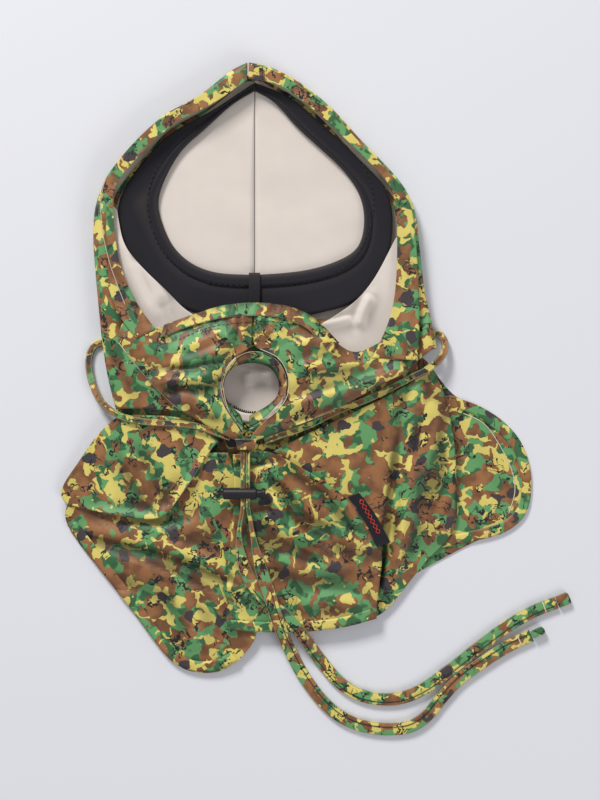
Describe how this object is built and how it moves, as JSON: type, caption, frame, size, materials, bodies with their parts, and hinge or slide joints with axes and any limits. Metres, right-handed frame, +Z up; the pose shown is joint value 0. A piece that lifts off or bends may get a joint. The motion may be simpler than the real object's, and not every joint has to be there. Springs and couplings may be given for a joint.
{
  "type": "balaclava",
  "caption": "Hooded camouflage balaclava with face mask, mouth opening, inner headband, shoulder cape and drawcord with a spring cord lock, lying flat on its back.",
  "frame": {"origin": "middle of the footprint of the hood and cape, on the surface it lies on, without the cord's two loose ends", "axes": "+Y towards the crown, +X to the wearer's left as it lies face up, +Z up out of the face opening"},
  "size_m": [0.4076, 0.5331, 0.0259],
  "materials": {
    "camouflage_cloth": "matt printed stretch jersey",
    "lining_cloth": "matt knit, the plain back of the printed cloth",
    "black_knit": "fine elastic knit",
    "seam_thread": "polyester thread",
    "label_weave": "damask weave with a plain pattern",
    "black_plastic": "fine moulded satin",
    "spring_steel": "bare wire"
  },
  "bodies": {
    "garment": {"hood_back_left": "camouflage_cloth", "hood_back_right": "camouflage_cloth", "hood_side_left": "camouflage_cloth", "hood_side_right": "camouflage_cloth", "face_facing_left": "camouflage_cloth", "face_facing_right": "camouflage_cloth", "cord_casing": "camouflage_cloth", "mask_left": "camouflage_cloth", "mask_right": "camouflage_cloth", "nose_channel": "camouflage_cloth", "mouth_hem": "camouflage_cloth", "throat_tab": "camouflage_cloth", "cape_back": "camouflage_cloth", "cape_back_hem": "camouflage_cloth", "cape_front_left": "camouflage_cloth", "cape_front_left_hem": "camouflage_cloth", "cape_bib": "camouflage_cloth", "cape_bib_hem": "camouflage_cloth", "cape_shoulder_left": "camouflage_cloth", "cape_side_right": "camouflage_cloth", "neck_cord": "camouflage_cloth", "cord_tail_left": "camouflage_cloth", "cord_tail_right": "camouflage_cloth", "cord_end_square": "camouflage_cloth", "cord_end_rolled": "camouflage_cloth", "crown_lining_left": "lining_cloth", "crown_lining_right": "lining_cloth", "side_lining_left": "lining_cloth", "side_lining_right": "lining_cloth", "neck_lining": "lining_cloth", "headband_left": "black_knit", "headband_hem_left": "black_knit", "headband_right": "black_knit", "headband_hem_right": "black_knit", "headband_seam_tape": "black_knit", "overlock_seam": "seam_thread", "woven_label": "label_weave"},
    "cord_lock": {"cord_lock_barrel": "black_plastic", "cord_lock_spring": "spring_steel"},
    "plunger": {"cord_lock_plunger": "black_plastic"}
  },
  "joints": [
    {"name": "cord_lock_slide", "type": "slide", "parent": "garment", "child": "cord_lock", "axis": [0, 0.9992, 0.04], "range_m": [-0.006, 0.015]},
    {"name": "plunger_press", "type": "slide", "parent": "cord_lock", "child": "plunger", "axis": [-1, 0, 0], "range_m": [0, 0.003], "stiffness_N_per_m": 600, "springref_m": -0.004, "deforming": ["cord_lock_spring"]}
  ]
}
